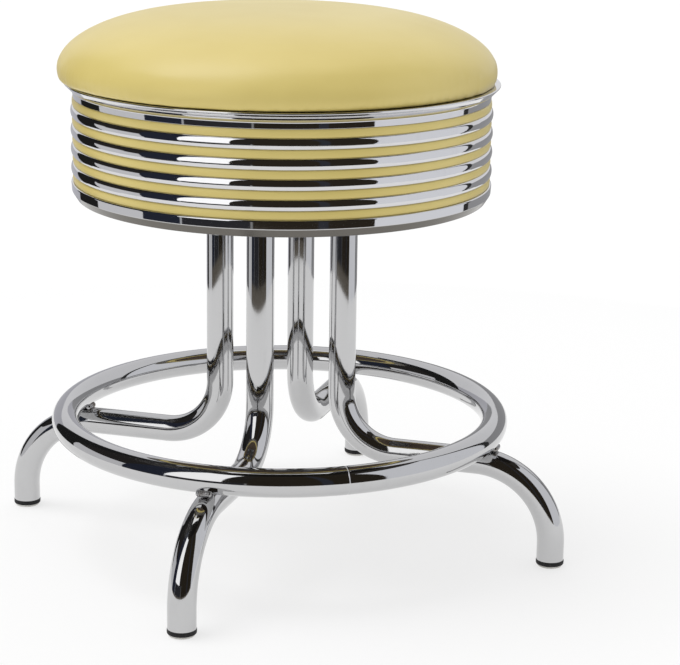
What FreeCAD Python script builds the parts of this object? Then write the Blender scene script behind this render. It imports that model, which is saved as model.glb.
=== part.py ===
# Low diner stool: a round padded seat in a ribbed bright band turns on four bent tube legs that are
# welded under a round foot ring. Millimetres, +Z up, origin on the floor under the middle of the seat.
import FreeCAD, Part
import math
import os
from FreeCAD import Vector

# Frame tube
tube_diameter = 25.0
tube_bore_diameter = 22.0
tube_side_count = 16  # flats that stand for the round, on the tube and on what fits it

# Foot ring, bent from the same tube
ring_radius = 200.5
ring_height = 118.5

# Legs
leg_sides = ("right", "back", "left", "front")
column_radius = 60.0
foot_radius = 262.0
upper_bend_radius = 52.0
lower_bend_radius = 72.0
foot_bore_depth = 20.0

# Feet
glide_height = 3.0
glide_radius = 11.4
glide_recess = 1.5
glide_edge = 0.8
cap_rim_height = 3.4
cap_overhang = 0.4
cap_edge = 1.0
cap_plug_length = 16.0
cap_plug_clearance = 0.1

# Weld beads
ring_bead_radius = 4.6
ring_bead_length = 15.0
bead_side_count = 8
plate_bead_size = 3.0

# Plates under the seat, their bolts and nuts
plate_margin = 2.5
plate_corner_radius = 14.0
frame_plate_thickness = 4.0
swivel_height = 11.0
swivel_sheet = 2.5
bolt_spacing = 116.0
bolt_diameter = 8.0
bolt_hole_clearance = 0.5
bolt_across_flats = 13.0
bolt_head_height = 3.4
bolt_end = 1.5
nut_height = 6.5
thread_clearance = 0.05

# Swivel bearing
pin_diameter = 16.0
pin_running_clearance = 0.05
pin_head_diameter = 26.0
pin_head_height = 2.5
pin_washer_height = 1.0
pin_room = 2.0
bearing_inner_diameter = 60.0
bearing_outer_diameter = 100.0
bearing_play = 0.1

# Seat band
band_bottom = 329.0
band_radius = 191.0
groove_count = 5
groove_width = 7.2
groove_wall = 2.7
rib_width = 10.0
rib_depth = 4.8
rib_bevel = 2.4
rib_bevel_depth = 2.0
inlay_thickness = 3.0
lip_height = 7.0
lip_setback = 5.0
bottom_strip = 8.2
top_strip = 4.4
top_strip_setback = 1.8
flare_height = 3.4
rim_height = 10.4
rim_overhang = 6.0
rim_edge = 1.8
flange_thickness = 1.2
flange_width = 17.5

# Seat board and the screws into it
board_thickness = 15.0
soft_gap = 0.3
seat_screw_count = 4
seat_screw_circle = 62.0
seat_screw_diameter = 4.5
seat_screw_length = 12.0
band_screw_count = 6
band_screw_inset = 9.5
band_screw_diameter = 3.9
band_screw_length = 10.0
screw_head_diameter = 8.8
screw_head_height = 2.3
screw_hole_clearance = 0.4
screw_side_count = 8

# Cushion
cover_thickness = 1.2
cover_wrap = 31.0
cushion_overhang = 2.5
waist_setback = 4.8
bulge_height = 12.7
bulge_strip_count = 2
crown_height = 51.0
crown_strip_count = 7
crown_squareness = 3.3
crown_fullness = 1.63

# Heights and radii that follow from the sizes above
tube_radius = tube_diameter / 2
bore_radius = tube_bore_diameter / 2
leg_bottom = glide_height + cap_rim_height
leg_run_height = ring_height - tube_diameter
pin_radius = pin_diameter / 2
pin_head_radius = pin_head_diameter / 2
bolt_radius = bolt_diameter / 2
hexagon_radius = bolt_across_flats / math.sqrt(3)
first_groove = band_bottom + lip_height + bottom_strip
rib_pitch = groove_width + rib_width
rim_bottom = first_groove + groove_count * rib_pitch - rib_width + top_strip
rim_top = rim_bottom + rim_height
rim_radius = band_radius + rim_overhang
groove_radius = band_radius - rib_depth
band_inner_radius = groove_radius - groove_wall
cover_radius = band_inner_radius - soft_gap
cover_bottom = band_bottom + flange_thickness + soft_gap
board_radius = cover_radius - cover_thickness - soft_gap
board_bottom = cover_bottom + cover_thickness + soft_gap
board_top = board_bottom + board_thickness
swivel_bottom = board_bottom - swivel_height
lower_sheet_top = swivel_bottom + swivel_sheet
upper_sheet_bottom = board_bottom - swivel_sheet
frame_plate_bottom = swivel_bottom - frame_plate_thickness
plate_half_side = column_radius + tube_radius + plate_margin
washer_bottom = board_bottom + bearing_play
washer_top = washer_bottom + pin_washer_height
cushion_equator = rim_top + soft_gap + bulge_height
cushion_radius = rim_radius + cushion_overhang

CENTRE = Vector(0, 0, 0)
UP = Vector(0, 0, 1)
ALONG_LEG = Vector(1, 0, 0)


def circle_places(radius, count, first_angle):
    places = []
    for index in range(count):
        angle = first_angle + 2 * math.pi * index / count
        places.append((radius * math.cos(angle), radius * math.sin(angle)))
    return places


def many_sided(radius, sides, z, x=0.0, y=0.0):
    # A closed wire of flats, one of them square to +X, with the area of the circle that it stands for.
    step = 2 * math.pi / sides
    corner_radius = radius * math.sqrt(step / math.sin(step))
    corners = [Vector(x + r, y + s, z) for r, s in circle_places(corner_radius, sides, step / 2)]
    return Part.makePolygon(corners + corners[:1])


def stacked(levels, sides, x=0.0, y=0.0):
    # A many sided solid through (radius, height) levels.
    return Part.makeLoft([many_sided(radius, sides, z, x, y) for radius, z in levels], True, True)


def revolved(outline):
    # Turns a closed outline of (radius, height) points about the stool's axis.
    points = [Vector(radius, 0, z) for radius, z in outline]
    return Part.Face(Part.makePolygon(points + points[:1])).revolve(CENTRE, UP, 360)


def cylinder(radius, bottom, top, x=0.0, y=0.0):
    return Part.makeCylinder(radius, top - bottom, Vector(x, y, bottom))


def cylinders(places, radius, bottom, top):
    return [cylinder(radius, bottom, top, x, y) for x, y in places]


def around(shape):
    # One copy of a shape at each leg, from the right hand one on.
    copies = []
    for index in range(len(leg_sides)):
        copy = shape.copy()
        copy.rotate(CENTRE, UP, 360.0 * index / len(leg_sides))
        copies.append(copy)
    return copies


def write(name, shape):
    shape.exportStep(os.path.join("parts", name + ".step"))


def leg_path():
    # Down beside the stool's axis, out under the ring, and down again to the foot.
    half = math.sqrt(0.5)
    run_start = column_radius + upper_bend_radius
    run_end = foot_radius - lower_bend_radius
    column_end = leg_run_height + upper_bend_radius
    drop_start = leg_run_height - lower_bend_radius
    corners = [
        Vector(column_radius, 0, frame_plate_bottom),
        Vector(column_radius, 0, column_end),
        Vector(run_start, 0, leg_run_height),
        Vector(run_end, 0, leg_run_height),
        Vector(foot_radius, 0, drop_start),
        Vector(foot_radius, 0, leg_bottom),
    ]
    upper_middle = Vector(run_start - upper_bend_radius * half, 0, column_end - upper_bend_radius * half)
    lower_middle = Vector(run_end + lower_bend_radius * half, 0, drop_start + lower_bend_radius * half)
    return Part.Wire([
        Part.makeLine(corners[0], corners[1]),
        Part.Arc(corners[1], upper_middle, corners[2]).toShape(),
        Part.makeLine(corners[2], corners[3]),
        Part.Arc(corners[3], lower_middle, corners[4]).toShape(),
        Part.makeLine(corners[4], corners[5]),
    ])


def make_leg():
    section = many_sided(tube_radius, tube_side_count, frame_plate_bottom, column_radius)
    leg = leg_path().makePipeShell([section], True, False)
    bore = stacked([(bore_radius, leg_bottom), (bore_radius, leg_bottom + foot_bore_depth)],
                   tube_side_count, foot_radius)
    return leg.cut(bore)


def make_ring():
    section = many_sided(tube_radius, tube_side_count, 0)
    section.rotate(CENTRE, ALONG_LEG, 90)
    section.translate(Vector(ring_radius, 0, ring_height))
    return Part.Face(section).revolve(CENTRE, UP, 360)


def make_ring_welds(leg, ring):
    # A bead lies in the corner between the ring and the top of each leg, inside the ring and outside.
    corner_width = 2 * math.sqrt(tube_radius * ring_bead_radius) - ring_bead_radius
    height = leg_run_height + tube_radius + ring_bead_radius / 2
    half_length = ring_bead_length / 2
    beads = []
    for radius in (ring_radius - corner_width, ring_radius + corner_width):
        bead = stacked([(ring_bead_radius, -half_length), (ring_bead_radius, half_length)],
                       bead_side_count)
        bead.rotate(CENTRE, ALONG_LEG, 90)
        bead.translate(Vector(radius, 0, height))
        beads.extend(around(bead.cut(leg).cut(ring).Solids[0]))
    return Part.Compound(beads)


def make_plate_welds(leg):
    # A fillet bead runs round the top of each leg, against the plate.
    levels = [(tube_radius, frame_plate_bottom - plate_bead_size),
              (tube_radius + plate_bead_size, frame_plate_bottom)]
    return Part.Compound(around(stacked(levels, tube_side_count, column_radius).cut(leg).Solids[0]))


def make_cap():
    # A black plug in the end of the leg, with a rim under the tube and a recess for the glide.
    rim_radius_out = tube_radius + cap_overhang
    plug_radius = bore_radius - cap_plug_clearance
    plug_top = leg_bottom + cap_plug_length
    rim = stacked([
        (rim_radius_out - cap_edge, glide_height),
        (rim_radius_out, glide_height + cap_edge),
        (rim_radius_out, leg_bottom - cap_edge / 2),
        (rim_radius_out - cap_edge / 2, leg_bottom),
    ], tube_side_count, foot_radius)
    plug = stacked([
        (plug_radius, leg_bottom),
        (plug_radius, plug_top - cap_edge),
        (plug_radius - cap_edge, plug_top),
    ], tube_side_count, foot_radius)
    recess = [(glide_radius, glide_height), (glide_radius, glide_height + glide_recess)]
    return rim.fuse(plug).cut(stacked(recess, tube_side_count, foot_radius))


def make_glide():
    return stacked([
        (glide_radius - glide_edge, 0),
        (glide_radius, glide_edge),
        (glide_radius, glide_height + glide_recess),
    ], tube_side_count, foot_radius)


def square_plate(bottom, top):
    corner = Vector(-plate_half_side, -plate_half_side, bottom)
    slab = Part.makeBox(2 * plate_half_side, 2 * plate_half_side, top - bottom, corner)
    upright = [edge for edge in slab.Edges if edge.tangentAt(edge.FirstParameter).cross(UP).Length < 0.5]
    return slab.makeFillet(plate_corner_radius, upright)


def bolt_places():
    return circle_places(bolt_spacing / math.sqrt(2), 4, math.pi / 4)


def seat_screw_places():
    return circle_places(seat_screw_circle, seat_screw_count, math.pi / seat_screw_count)


def band_screw_places():
    return circle_places(band_inner_radius - band_screw_inset, band_screw_count, math.pi / band_screw_count)


def make_frame_plate():
    holes = cylinders(bolt_places(), bolt_radius + bolt_hole_clearance, frame_plate_bottom, swivel_bottom)
    rivet_hole = cylinder(pin_head_radius + pin_room, frame_plate_bottom, swivel_bottom)
    return square_plate(frame_plate_bottom, swivel_bottom).cut(holes + [rivet_hole])


def make_swivel_bottom():
    holes = cylinders(bolt_places(), bolt_radius + bolt_hole_clearance, swivel_bottom, lower_sheet_top)
    pin_hole = cylinder(pin_radius, swivel_bottom, lower_sheet_top)
    return square_plate(swivel_bottom, lower_sheet_top).cut(holes + [pin_hole])


def make_swivel_top():
    screw_hole_radius = seat_screw_diameter / 2 + screw_hole_clearance
    holes = cylinders(seat_screw_places(), screw_hole_radius, upper_sheet_bottom, board_bottom)
    pin_hole = cylinder(pin_radius + pin_running_clearance, upper_sheet_bottom, board_bottom)
    return square_plate(upper_sheet_bottom, board_bottom).cut(holes + [pin_hole])


def make_bearing():
    bottom = lower_sheet_top
    top = upper_sheet_bottom - bearing_play
    ring = cylinder(bearing_outer_diameter / 2, bottom, top)
    return ring.cut(cylinder(bearing_inner_diameter / 2, bottom, top))


def make_king_pin():
    # Riveted over under the lower sheet; its upper head holds the seat's sheet down by a washer.
    return revolved([
        (0, swivel_bottom - pin_head_height),
        (pin_head_radius, swivel_bottom - pin_head_height),
        (pin_head_radius, swivel_bottom),
        (pin_radius, swivel_bottom),
        (pin_radius, washer_top),
        (pin_head_radius, washer_top),
        (pin_head_radius, washer_top + pin_head_height),
        (0, washer_top + pin_head_height),
    ])


def make_pin_washer():
    hole = cylinder(pin_radius + pin_running_clearance, washer_bottom, washer_top)
    return cylinder(pin_head_radius, washer_bottom, washer_top).cut(hole)


def make_bolts():
    # Heads lie between the swivel's sheets, and the ends show below the nuts.
    head_top = lower_sheet_top + bolt_head_height
    end = frame_plate_bottom - nut_height - bolt_end
    bolts = []
    for x, y in bolt_places():
        head = stacked([(hexagon_radius, lower_sheet_top), (hexagon_radius, head_top)], 6, x, y)
        bolts.append(head.fuse(cylinder(bolt_radius, end, lower_sheet_top, x, y)))
    return Part.Compound(bolts)


def make_nuts():
    bottom = frame_plate_bottom - nut_height
    nuts = []
    for x, y in bolt_places():
        nut = stacked([(hexagon_radius, bottom), (hexagon_radius, frame_plate_bottom)], 6, x, y)
        nuts.append(nut.cut(cylinder(bolt_radius + thread_clearance, bottom, frame_plate_bottom, x, y)))
    return Part.Compound(nuts)


def make_screws(places, diameter, head_top, length):
    # Wood screws that point up, with their heads against the underside at head_top.
    head_radius = screw_head_diameter / 2
    screws = []
    for x, y in places:
        head = stacked([(head_radius, head_top - screw_head_height), (head_radius, head_top)],
                       screw_side_count, x, y)
        shank = stacked([(diameter / 2, head_top), (diameter / 2, head_top + length)],
                        screw_side_count, x, y)
        screws.append(head.fuse(shank))
    return Part.Compound(screws)


def pilot_holes(places, diameter, head_top, length):
    radius = diameter / 2 + thread_clearance
    top = head_top + length + thread_clearance
    return [stacked([(radius, board_bottom), (radius, top)], screw_side_count, x, y) for x, y in places]


def groove_bottom(index):
    return first_groove + index * rib_pitch


def rib_outline(bottom):
    # One rib between two grooves: up its wall, over a bevelled crest, and back to the next groove.
    top = bottom + rib_width
    shoulder = band_radius - rib_bevel_depth
    return [
        (groove_radius, bottom),
        (shoulder, bottom),
        (band_radius, bottom + rib_bevel),
        (band_radius, top - rib_bevel),
        (shoulder, top),
        (groove_radius, top),
    ]


def make_band():
    # Rolled sheet, bottom to top: an inward flange, a lip, grooves between ribs, an upright strip that
    # stands back a little, and a rim that flares out over it.
    strip_radius = band_radius - top_strip_setback
    outline = [
        (band_inner_radius - flange_width, band_bottom),
        (band_radius - lip_setback, band_bottom),
        (band_radius, band_bottom + lip_height),
        (band_radius, first_groove),
        (groove_radius, first_groove),
    ]
    for index in range(groove_count - 1):
        outline.extend(rib_outline(groove_bottom(index) + groove_width))
    outline.extend([
        (groove_radius, rim_bottom - top_strip),
        (strip_radius, rim_bottom - top_strip),
        (strip_radius, rim_bottom),
        (band_radius, rim_bottom + flare_height),
        (rim_radius, rim_top - rim_edge),
        (rim_radius - rim_edge, rim_top),
        (band_inner_radius, rim_top),
        (band_inner_radius, band_bottom + flange_thickness),
        (band_inner_radius - flange_width, band_bottom + flange_thickness),
    ])
    hole_radius = band_screw_diameter / 2 + screw_hole_clearance
    holes = cylinders(band_screw_places(), hole_radius, band_bottom, band_bottom + flange_thickness)
    return revolved(outline).cut(holes)


def make_inlay(index):
    bottom = groove_bottom(index)
    top = bottom + groove_width
    outer_radius = groove_radius + inlay_thickness
    return cylinder(outer_radius, bottom, top).cut(cylinder(groove_radius, bottom, top))


def make_board():
    pocket_top = washer_top + pin_head_height + pin_room
    holes = pilot_holes(seat_screw_places(), seat_screw_diameter, upper_sheet_bottom, seat_screw_length)
    holes += pilot_holes(band_screw_places(), band_screw_diameter, band_bottom, band_screw_length)
    pocket = cylinder(pin_head_radius + pin_room, board_bottom, pocket_top)
    return cylinder(board_radius, board_bottom, board_top).cut(holes + [pocket])


def make_cushion():
    # The whole upholstered body: up inside the band, out over its rim, round the bulge and over a crown
    # whose outline is a squared ellipse.
    waist_radius = cushion_radius - waist_setback
    outline = [
        (0, cover_bottom),
        (cover_radius, cover_bottom),
        (cover_radius, rim_top + soft_gap),
    ]
    for index in range(bulge_strip_count):
        angle = math.pi / 2 * index / bulge_strip_count
        outline.append((waist_radius + waist_setback * math.sin(angle),
                        cushion_equator - bulge_height * math.cos(angle)))
    for index in range(crown_strip_count):
        angle = math.pi / 2 * index / crown_strip_count
        outline.append((cushion_radius * math.cos(angle) ** (2 / crown_squareness),
                        cushion_equator + crown_height * math.sin(angle) ** (2 / crown_fullness)))
    outline.append((0, cushion_equator + crown_height))
    return revolved(outline)


def shrunk(shape, distance):
    # The same shape with every face moved inwards; join=2 keeps its corners sharp.
    return shape.makeOffsetShape(-distance, 0.001, join=2)


def make_cover(cushion):
    # The skin is drawn under the board, where it leaves a round opening.
    opening = cylinder(cover_radius - cover_wrap, cover_bottom, cover_bottom + cover_thickness)
    return cushion.cut(shrunk(cushion, cover_thickness)).cut([opening] + cover_holes())


def cover_holes():
    hole_radius = band_screw_diameter / 2 + screw_hole_clearance
    return cylinders(band_screw_places(), hole_radius, cover_bottom, cover_bottom + cover_thickness)


def make_foam(cushion):
    below = cylinder(cushion_radius, cover_bottom, board_top + soft_gap)
    return shrunk(cushion, cover_thickness + soft_gap).cut(below)


def main():
    os.makedirs("parts", exist_ok=True)
    leg = make_leg()
    ring = make_ring()
    cushion = make_cushion()
    for name, shape in (("leg", leg), ("foot_cap", make_cap()), ("glide_pad", make_glide())):
        for side, copy in zip(leg_sides, around(shape)):
            write(name + "_" + side, copy)
    write("foot_ring", ring)
    write("ring_welds", make_ring_welds(leg, ring))
    write("frame_plate", make_frame_plate())
    write("plate_welds", make_plate_welds(leg))
    write("swivel_bottom_plate", make_swivel_bottom())
    write("swivel_top_plate", make_swivel_top())
    write("bearing_ring", make_bearing())
    write("king_pin", make_king_pin())
    write("pin_washer", make_pin_washer())
    write("plate_bolts", make_bolts())
    write("plate_nuts", make_nuts())
    write("seat_screws", make_screws(seat_screw_places(), seat_screw_diameter, upper_sheet_bottom,
                                     seat_screw_length))
    write("band_screws", make_screws(band_screw_places(), band_screw_diameter, band_bottom,
                                     band_screw_length))
    write("seat_band", make_band())
    for index in range(groove_count):
        write("inlay_strip_" + str(index + 1), make_inlay(index))
    write("seat_board", make_board())
    write("seat_foam", make_foam(cushion))
    write("seat_cover", make_cover(cushion))


main()
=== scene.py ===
import math

import bmesh
import bpy
from mathutils import Matrix, Vector


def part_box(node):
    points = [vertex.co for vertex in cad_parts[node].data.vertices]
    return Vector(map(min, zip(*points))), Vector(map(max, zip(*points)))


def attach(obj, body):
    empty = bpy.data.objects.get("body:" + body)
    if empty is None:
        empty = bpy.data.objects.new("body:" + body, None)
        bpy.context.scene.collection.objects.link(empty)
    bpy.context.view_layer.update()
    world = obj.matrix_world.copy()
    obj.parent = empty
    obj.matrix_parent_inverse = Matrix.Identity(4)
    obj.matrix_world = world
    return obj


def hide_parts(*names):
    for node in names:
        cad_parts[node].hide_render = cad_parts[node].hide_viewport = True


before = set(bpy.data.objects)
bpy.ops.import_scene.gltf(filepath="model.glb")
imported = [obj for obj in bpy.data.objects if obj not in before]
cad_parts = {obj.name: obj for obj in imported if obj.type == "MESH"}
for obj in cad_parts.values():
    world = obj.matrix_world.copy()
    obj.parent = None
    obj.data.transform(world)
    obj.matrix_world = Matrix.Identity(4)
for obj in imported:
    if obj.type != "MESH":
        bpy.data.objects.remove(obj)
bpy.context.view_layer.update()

# The four legs are bright chrome plated steel tube, bent cold and cut to one length.
# Each drops beside the stool's axis, sweeps out under the foot ring and turns down to its foot.
leg_turns = {"right": 0.0, "back": 90.0, "left": 180.0, "front": 270.0}
tube_radius = 0.0125
upper_bend_radius = 0.052
lower_bend_radius = 0.072
tube_facets = 56
bend_facets = 28
tube_colour = (0.55, 0.55, 0.555, 1.0)
tube_dullness = 0.045
tube_ripple = 0.00012
# This dark grey is painted shade: it stands for the shaded floor under the seat, which the band's lowest lip
# mirrors.
lip_painted_shade_colour = (0.16, 0.15, 0.135, 1.0)
lip_painted_shade_edge = 0.0004

glide_low, glide_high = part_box("glide_pad_right")
leg_low, leg_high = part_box("leg_right")
ring_low, ring_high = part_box("foot_ring")
foot_radius = (glide_low.x + glide_high.x) / 2
column_radius = leg_low.x + (leg_high.x - foot_radius)
ring_height = (ring_low.z + ring_high.z) / 2
run_height = ring_height - 2 * tube_radius


class Signal:
    """One value in a node tree, so that node maths reads as an expression."""

    def __init__(self, graph, socket):
        self.graph = graph
        self.socket = socket

    def maths(self, operation, first, second):
        return self.graph.node("ShaderNodeMath", {"operation": operation}, {0: first, 1: second})

    def __add__(self, other):
        return self.maths("ADD", self, other)

    def __sub__(self, other):
        return self.maths("SUBTRACT", self, other)

    def __rsub__(self, other):
        return self.maths("SUBTRACT", other, self)

    def __mul__(self, other):
        return self.maths("MULTIPLY", self, other)

    __radd__ = __add__


class Graph:
    """A node tree, and the one way to add a node to it."""

    def __init__(self, tree):
        self.tree = tree

    def node(self, kind, settings=None, sockets=None, output=0):
        made = self.tree.nodes.new(kind)
        for name, value in (settings or {}).items():
            if name == "stops":
                ramp = made.color_ramp.elements
                while len(ramp) < len(value):
                    ramp.new(0.5)
                for stop, (place, shade) in zip(ramp, value):
                    stop.position = place
                    stop.color = (shade, shade, shade, 1.0)
            else:
                setattr(made, name, value)
        for name, value in (sockets or {}).items():
            if isinstance(value, Signal):
                self.tree.links.new(value.socket, made.inputs[name])
            else:
                made.inputs[name].default_value = value
        return Signal(self, made.outputs[output])


class Finish(Graph):
    """A surface finish: a Principled shader with its own fixed values, and patterns on Object coordinates."""

    def __init__(self, name, **fixed):
        self.material = bpy.data.materials.new(name)
        self.material.use_nodes = True
        super().__init__(self.material.node_tree)
        self.shader = self.tree.nodes["Principled BSDF"]
        for socket, value in fixed.items():
            self.shader.inputs[socket.replace("_", " ")].default_value = value
        self.place = self.node("ShaderNodeTexCoord", {}, {}, "Object")

    def stretched(self, x, y, z):
        return self.node("ShaderNodeMapping", {}, {"Vector": self.place, "Scale": (x, y, z)})

    def clouds(self, scale, detail=2.0, at=None, roughness=0.5):
        sockets = {"Vector": at or self.place, "Scale": scale, "Detail": detail, "Roughness": roughness}
        return self.node("ShaderNodeTexNoise", {}, sockets)

    def between(self, value, low, high):
        sockets = {"Value": value, "From Min": low, "From Max": high}
        return self.node("ShaderNodeMapRange", {"clamp": True}, sockets)

    def blend(self, share, first, second):
        return self.node("ShaderNodeMix", {"data_type": "RGBA"}, {0: share, 6: first, 7: second}, 2)

    def bump(self, height, depth, strength=1.0, under=None):
        sockets = {"Height": height, "Distance": depth, "Strength": strength}
        if under:
            sockets["Normal"] = under
        return self.node("ShaderNodeBump", {}, sockets)

    def feed(self, **links):
        for socket, value in links.items():
            self.tree.links.new(value.socket, self.shader.inputs[socket.replace("_", " ")])
        return self.material


class Pattern(Graph):
    """A Geometry Nodes tree whose sizes are named inputs."""

    kinds = {float: "NodeSocketFloat", int: "NodeSocketInt"}

    def __init__(self, name, **sizes):
        super().__init__(bpy.data.node_groups.new(name, "GeometryNodeTree"))
        self.sizes = sizes
        self.keys = {}
        for label, value in sizes.items():
            item = self.tree.interface.new_socket(label, in_out="INPUT", socket_type=self.kinds[type(value)])
            self.keys[label] = item.identifier
        self.tree.interface.new_socket("Geometry", in_out="OUTPUT", socket_type="NodeSocketGeometry")
        self.entry = self.tree.nodes.new("NodeGroupInput")

    def size(self, label):
        return Signal(self, self.entry.outputs[label])

    def point(self, x, y, z):
        return self.node("ShaderNodeCombineXYZ", {}, {"X": x, "Y": y, "Z": z})

    def moved(self, geometry, translation=None, rotation=None):
        sockets = {"Geometry": geometry}
        if translation:
            sockets["Translation"] = translation
        if rotation:
            sockets["Rotation"] = rotation
        return self.node("GeometryNodeTransform", {}, sockets)

    def around(self, geometry, count, radius, height, first_turn):
        # Copies on a circle about the Z axis, each turned so that its own +X points outwards.
        circle = self.node("GeometryNodeMeshCircle", {}, {"Vertices": count, "Radius": radius})
        index = self.node("GeometryNodeInputIndex")
        step = self.node("ShaderNodeMath", {"operation": "DIVIDE"}, {0: 2 * math.pi, 1: count})
        turn = self.point(0.0, 0.0, index * step)
        copies = self.node("GeometryNodeInstanceOnPoints", {},
                           {"Points": circle, "Instance": geometry, "Rotation": turn})
        return self.moved(copies, self.point(0.0, 0.0, height), self.point(0.0, 0.0, first_turn))

    def close(self, geometry, material):
        real = self.node("GeometryNodeRealizeInstances", {}, {"Geometry": geometry})
        dressed = self.node("GeometryNodeSetMaterial", {}, {"Geometry": real, "Material": material})
        exit_node = self.tree.nodes.new("NodeGroupOutput")
        self.tree.links.new(dressed.socket, exit_node.inputs[0])

    def piece(self, name, sharp=35.0, **changes):
        # Runs the tree with its sizes, some of them changed, and keeps the result as a plain mesh.
        made = bpy.data.objects.new(name, bpy.data.meshes.new(name))
        bpy.context.scene.collection.objects.link(made)
        modifier = made.modifiers.new("pattern", "NODES")
        modifier.node_group = self.tree
        for label, value in {**self.sizes, **changes}.items():
            modifier[self.keys[label]] = value
        keep(made)
        made.data.name = name
        return smooth(made, sharp)


def keep(made):
    # Applies every modifier of a piece.
    evaluated = made.evaluated_get(bpy.context.evaluated_depsgraph_get())
    mesh = bpy.data.meshes.new_from_object(evaluated)
    made.modifiers.clear()
    made.data = mesh


def smooth(made, sharp):
    made.data.shade_smooth()
    made.data.set_sharp_from_angle(angle=math.radians(sharp))
    return made


def join(made, body, slot, *nodes):
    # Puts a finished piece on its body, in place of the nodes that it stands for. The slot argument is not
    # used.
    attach(made, body)
    if nodes:
        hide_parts(*nodes)
    return made


def chrome(name, colour, dullness, ripple, rough_and_painted_shade_below=None):
    # Below a given height the plate is painted dark grey, as painted shade for the shaded floor under the
    # seat that it mirrors, and is made rougher there.
    # The buffing wheel doesn't reach what lies under the height rough_and_painted_shade_below, so the plate stays grey there.
    plate = Finish(name, Base_Color=colour, Metallic=1.0)
    haze = plate.clouds(38.0, 4.0)
    wiping = plate.clouds(220.0, 3.0, plate.stretched(1.0, 1.0, 0.07))
    smears = plate.between(haze, 0.5, 0.8) * plate.between(wiping, 0.35, 0.75)
    shade = plate.blend(smears * 0.35, colour, tuple(0.82 * c for c in colour[:3]) + (1.0,))
    slow = plate.bump(plate.clouds(26.0, 1.0), ripple, 0.5)
    fine = plate.bump(wiping, 0.000004, 0.3, slow)
    rough = dullness + smears * 0.09
    # Below that height the colour is painted shade, a painted reflection of the shaded floor; the roughness
    # rises there too.
    if rough_and_painted_shade_below:
        height = plate.node("ShaderNodeSeparateXYZ", {}, {"Vector": plate.place}, "Z")
        rough_and_painted_shade = plate.between(height, rough_and_painted_shade_below + lip_painted_shade_edge, rough_and_painted_shade_below - lip_painted_shade_edge)
        shade = plate.blend(rough_and_painted_shade, shade, lip_painted_shade_colour)
        rough = rough + rough_and_painted_shade * 0.16
    return plate.feed(Base_Color=shade, Roughness=rough, Normal=fine)


tube_chrome = chrome("tube_chrome", tube_colour, tube_dullness, tube_ripple)

legs = Pattern("leg_tube", tube_radius=tube_radius, column_radius=column_radius, foot_radius=foot_radius,
               top=leg_high.z, run_height=run_height, foot_end=leg_low.z, upper_bend=upper_bend_radius,
               lower_bend=lower_bend_radius, turn=0.0)
leg_line = legs.node("GeometryNodeCurvePrimitiveQuadrilateral", {"mode": "POINTS"}, {
    "Point 1": legs.point(legs.size("column_radius"), 0.0, legs.size("top")),
    "Point 2": legs.point(legs.size("column_radius"), 0.0, legs.size("run_height")),
    "Point 3": legs.point(legs.size("foot_radius"), 0.0, legs.size("run_height")),
    "Point 4": legs.point(legs.size("foot_radius"), 0.0, legs.size("foot_end")),
})
leg_line = legs.node("GeometryNodeSetSplineCyclic", {}, {"Geometry": leg_line, "Cyclic": False})
second_bend = legs.node("GeometryNodeInputIndex") - 1.0
bend_radius = legs.size("upper_bend") + second_bend * (legs.size("lower_bend") - legs.size("upper_bend"))
leg_line = legs.node("GeometryNodeFilletCurve", {"mode": "POLY"},
                     {"Curve": leg_line, "Count": bend_facets, "Radius": bend_radius})
tube_section = legs.node("GeometryNodeCurvePrimitiveCircle", {},
                         {"Resolution": tube_facets, "Radius": legs.size("tube_radius")})
leg_skin = legs.node("GeometryNodeCurveToMesh", {},
                     {"Curve": leg_line, "Profile Curve": tube_section, "Fill Caps": True})
legs.close(legs.moved(leg_skin, None, legs.point(0.0, 0.0, legs.size("turn"))), tube_chrome)
for side, degrees in leg_turns.items():
    leg = legs.piece("leg_tube_" + side, turn=math.radians(degrees))
    join(leg, "frame", "tube_chrome", "leg_" + side)


# The foot ring is the same tube rolled into a circle and closed by a butt weld.
# The weld is ground flush and plated over, so only a fine line is left beside the front leg.
ring_radius = ring_high.x - (leg_high.x - foot_radius)
ring_steps = 240
seam_turn = math.radians(-55.4)
seam_half_width = 0.0009
seam_depth = 0.00035


def turned(name, outline_at, turns, material, sharp=35.0, x=0.0, y=0.0):
    # Turns a closed outline of (radius, height) points about an upright axis through x and y.
    # outline_at gives the outline for an angle, so that a hexagon or a cross recess can be turned as well.
    work = bmesh.new()
    rounds = []
    for turn in turns:
        across, along = math.cos(turn), math.sin(turn)
        rounds.append([work.verts.new((x + r * across, y + r * along, z)) for r, z in outline_at(turn)])
    for here, there in zip(rounds, rounds[1:] + rounds[:1]):
        for low in range(len(here)):
            high = (low + 1) % len(here)
            work.faces.new((here[low], there[low], there[high], here[high]))
    bmesh.ops.remove_doubles(work, verts=work.verts, dist=1e-7)
    bmesh.ops.recalc_face_normals(work, faces=work.faces)
    mesh = bpy.data.meshes.new(name)
    work.to_mesh(mesh)
    work.free()
    mesh.materials.append(material)
    made = bpy.data.objects.new(name, mesh)
    bpy.context.scene.collection.objects.link(made)
    return smooth(made, sharp)


def even_turns(count):
    return [2 * math.pi * step / count for step in range(count)]


def arc(x, y, width, height, start, end, steps):
    # Points of an ellipse's arc, with start and end in degrees.
    points = []
    for step in range(steps + 1):
        angle = math.radians(start + (end - start) * step / steps)
        points.append((x + width * math.cos(angle), y + height * math.sin(angle)))
    return points


def roll(x, y, radius, start, end, steps):
    # A rounded edge: part of a circle.
    return arc(x, y, radius, radius, start, end, steps)


def firm(outline, margin=0.0002):
    # Adds a point close to both ends of every long edge, so that smooth shading stays true along it.
    points = []
    for (x, y), (next_x, next_y) in zip(outline, outline[1:] + outline[:1]):
        points.append((x, y))
        length = math.hypot(next_x - x, next_y - y)
        if length > margin * 4:
            for share in (margin / length, 1 - margin / length):
                points.append((x + (next_x - x) * share, y + (next_y - y) * share))
    return points


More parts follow.
